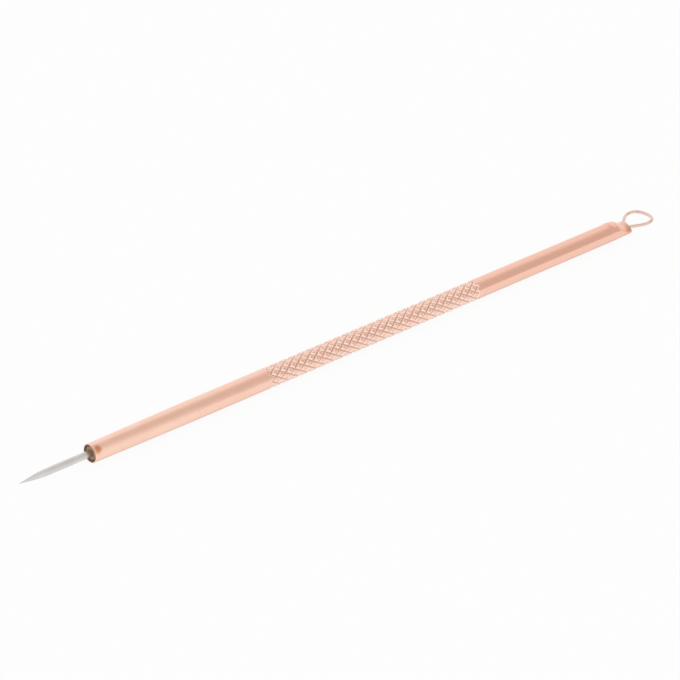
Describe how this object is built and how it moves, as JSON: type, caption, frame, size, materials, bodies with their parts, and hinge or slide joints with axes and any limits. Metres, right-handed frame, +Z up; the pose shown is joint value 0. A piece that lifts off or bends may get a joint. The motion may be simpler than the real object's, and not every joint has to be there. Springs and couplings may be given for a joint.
{
  "type": "blackhead extractor",
  "caption": "Double-ended blackhead extractor: slim knurled tube handle with a lancet needle at one end and a wire loop at the other.",
  "frame": {"origin": "centre of the bounding box at its bottom, on the surface that the tool lies on", "axes": "+X along the tool from the needle's point to the loop, +Z up with the tool lying on its side and the loop level"},
  "size_m": [0.1222, 0.0048, 0.0031],
  "materials": {
    "plated_tube": "polished rose-gold plating on stainless steel",
    "plated_wire": "polished rose-gold plating on spring-steel wire",
    "needle_steel": "fine-ground stainless steel",
    "plug_steel": "dull machined steel"
  },
  "bodies": {
    "root": {"handle_tube": "plated_tube", "needle": "needle_steel", "needle_plug": "plug_steel", "loop_plug": "plug_steel", "loop_wire": "plated_wire"}
  },
  "joints": []
}
